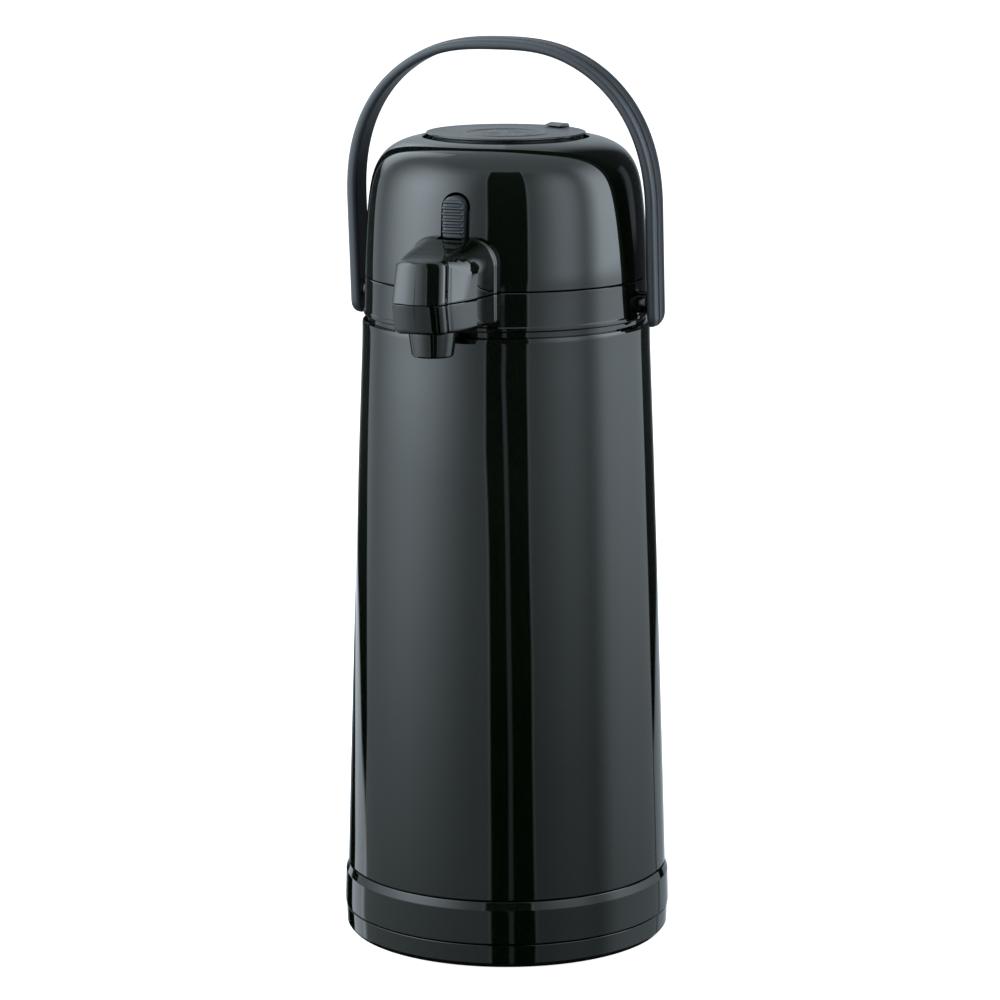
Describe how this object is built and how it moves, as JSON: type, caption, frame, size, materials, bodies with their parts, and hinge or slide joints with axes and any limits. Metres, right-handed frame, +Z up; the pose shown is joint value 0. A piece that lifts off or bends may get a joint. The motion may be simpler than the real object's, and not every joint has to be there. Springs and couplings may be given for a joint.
{
  "type": "thermal coffee airpot",
  "caption": "Tall round pump airpot: glossy tapered casing on a swivel foot, domed pump lid with front spout and latch, and an arched carry handle.",
  "frame": {"origin": "on the pot's vertical axis, at the plane it rests on", "axes": "+Z up along the pot's axis, -Y towards the spout, +X to the right seen from the spout side"},
  "size_m": [0.164, 0.2022, 0.4496],
  "materials": {
    "gloss_black": "polished injection-moulded black, mirror-like with faint moulding waviness",
    "satin_black": "satin blue-black, fine spark-eroded grain",
    "button_black": "semi-gloss blue-black with worn-in sheen",
    "black_rubber": "dull black",
    "grey_plastic": "semi-matte dark grey moulding",
    "natural_plastic": "translucent off-white food-grade moulding",
    "silicone": "milky soft seal",
    "liner_glass": "silvered vacuum glass",
    "stainless": "bright drawn wire and turned pins"
  },
  "bodies": {
    "foot": {"swivel_foot": "gloss_black", "nonslip_ring": "black_rubber", "bearing_ring": "natural_plastic", "bolt_cover": "black_rubber"},
    "pot": {"base_band": "gloss_black", "swivel_bolt": "stainless", "swivel_washer": "stainless", "body_shell": "gloss_black", "liner_adjuster": "grey_plastic", "liner_cup": "grey_plastic", "liner_cushion": "black_rubber", "glass_liner": "liner_glass", "liner_neck_gasket": "black_rubber", "collar_ring": "gloss_black", "stem_gasket": "silicone", "stem_head": "grey_plastic", "siphon_tube": "natural_plastic", "tube_strainer": "natural_plastic", "discharge_pipe": "silicone", "spout_lower_cover": "gloss_black", "nozzle": "gloss_black", "nozzle_seal": "silicone", "hinge_pin": "stainless"},
    "ball": {"tipover_ball": "stainless"},
    "lid": {"lid_shell": "gloss_black", "spout_upper_cover": "gloss_black", "lid_bottom_plate": "grey_plastic", "lid_screw_left": "stainless", "lid_screw_right": "stainless", "lid_screw_front": "stainless", "air_outlet_packing": "silicone", "bellows": "natural_plastic", "bellows_spring": "stainless", "hinge_arm": "gloss_black", "latch_spring": "stainless"},
    "valve": {"air_valve": "silicone"},
    "latch": {"latch_slider": "satin_black"},
    "button": {"push_button": "button_black", "bellows_top_plate": "grey_plastic"},
    "lock": {"lock_ring": "button_black"},
    "handle": {"carry_handle": "satin_black", "handle_pin_left": "stainless", "handle_pin_right": "stainless", "handle_clip_left": "natural_plastic", "handle_clip_right": "natural_plastic"}
  },
  "joints": [
    {"name": "base_swivel", "type": "hinge", "parent": "foot", "child": "pot", "pos_m": [0, 0, 0.013], "axis": [0, 0, 1], "continuous": true},
    {"name": "handle_swing", "type": "hinge", "parent": "pot", "child": "handle", "pos_m": [0, 0, 0.321], "axis": [1, 0, 0], "range_deg": [-85, 85]},
    {"name": "lid_open", "type": "hinge", "parent": "pot", "child": "lid", "pos_m": [0, 0.076, 0.33], "axis": [-1, 0, 0], "range_deg": [0, 20]},
    {"name": "button_press", "type": "slide", "parent": "lid", "child": "button", "axis": [0, 0, -1], "range_m": [0, 0.02], "stiffness_N_per_m": 400, "springref_m": -0.01, "deforming": ["bellows", "bellows_spring"]},
    {"name": "lock_turn", "type": "hinge", "parent": "button", "child": "lock", "pos_m": [0, 0, 0.394], "axis": [0, 0, 1], "range_deg": [0, 25]},
    {"name": "latch_lift", "type": "slide", "parent": "lid", "child": "latch", "axis": [0, 0, 1], "range_m": [0, 0.0015], "stiffness_N_per_m": 300, "deforming": ["latch_spring"]},
    {"name": "air_valve_drop", "type": "slide", "parent": "lid", "child": "valve", "axis": [0, 0, -1], "range_m": [0, 0.0012], "stiffness_N_per_m": 20},
    {"name": "tip_ball_lift", "type": "slide", "parent": "pot", "child": "ball", "axis": [0, 0, 1], "range_m": [0, 0.006]}
  ]
}
